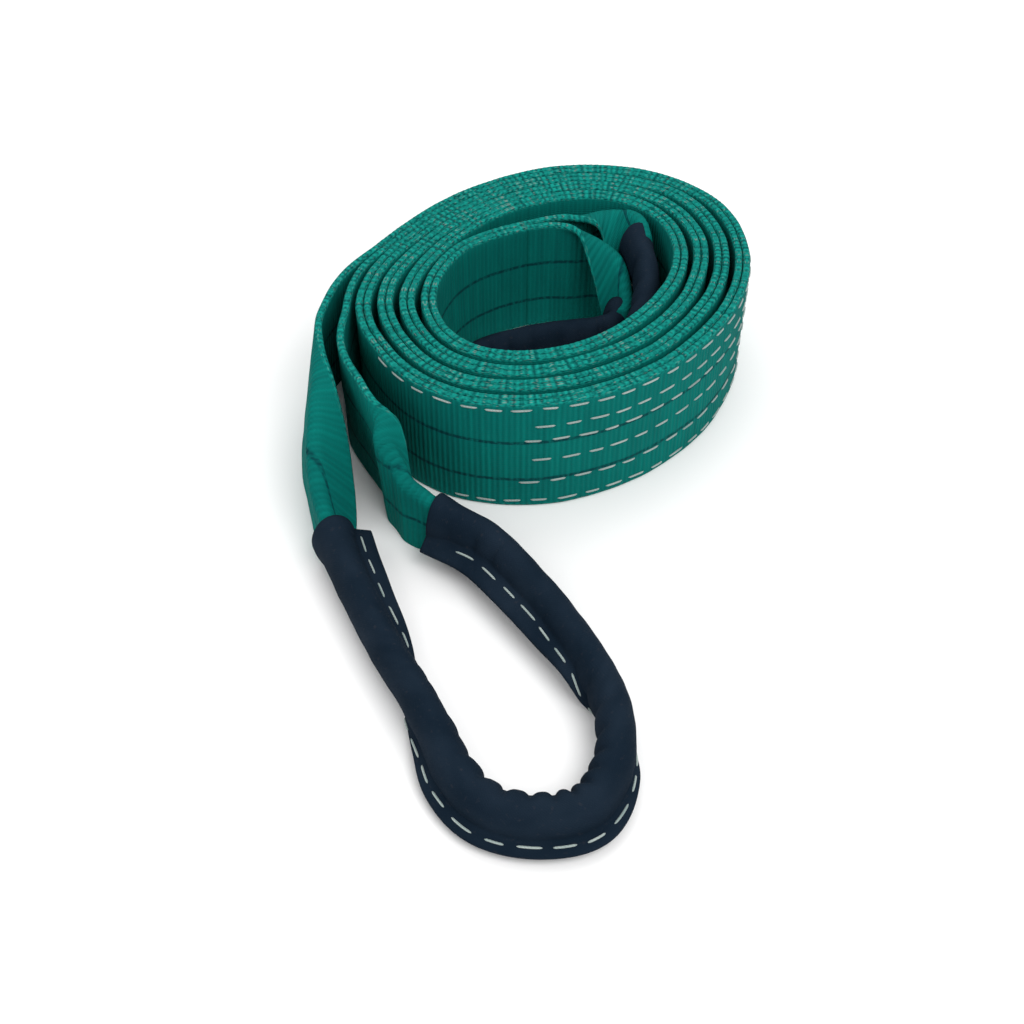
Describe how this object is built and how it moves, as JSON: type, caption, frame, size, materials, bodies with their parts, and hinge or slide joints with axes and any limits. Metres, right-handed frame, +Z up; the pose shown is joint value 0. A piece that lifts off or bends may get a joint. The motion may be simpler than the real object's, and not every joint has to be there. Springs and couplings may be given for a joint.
{
  "type": "flat web sling",
  "caption": "Two-ply flat webbing lifting sling with a sleeved eye at each end, coiled on its edge.",
  "frame": {"origin": "middle of the coiled sling's outline, on the surface it stands on", "axes": "+Y away from the front eye, across the coil; +X to the right of it; +Z up, along the webbing's width"},
  "size_m": [0.2123, 0.3776, 0.0601],
  "materials": {
    "webbing": "matt woven polyester webbing, teal green with two dark lengthwise stripes",
    "sleeve_cloth": "matt close-woven wear cloth, navy black",
    "thread": "off-white polyester sewing thread"
  },
  "bodies": {
    "sling_body": {"outer_ply": "webbing", "inner_ply": "webbing", "top_edge_seam": "thread", "bottom_edge_seam": "thread", "splice_seam_1": "thread", "splice_seam_2": "thread", "splice_seam_3": "thread", "splice_seam_4": "thread", "inner_eye_outer_leg": "webbing", "inner_eye_inner_leg": "webbing", "inner_eye_webbing": "webbing", "inner_eye_sleeve": "sleeve_cloth", "inner_eye_needle_seam": "thread", "inner_eye_bobbin_seam": "thread"},
    "front_eye_legs": {"front_eye_left_leg": "webbing", "front_eye_right_leg": "webbing"},
    "front_eye_loop": {"front_eye_webbing": "webbing", "front_eye_sleeve": "sleeve_cloth", "front_eye_needle_seam": "thread", "front_eye_bobbin_seam": "thread"}
  },
  "joints": [
    {"name": "front_eye_swing", "type": "hinge", "parent": "sling_body", "child": "front_eye_legs", "pos_m": [-0.0741, 0.1167, 0.03], "axis": [0, 0, -1], "range_deg": [0, 30]},
    {"name": "front_eye_lift", "type": "hinge", "parent": "front_eye_legs", "child": "front_eye_loop", "pos_m": [-0.0633, -0.029, 0.0315], "axis": [-0.9927, -0.1209, 0], "range_deg": [0, 40]}
  ]
}
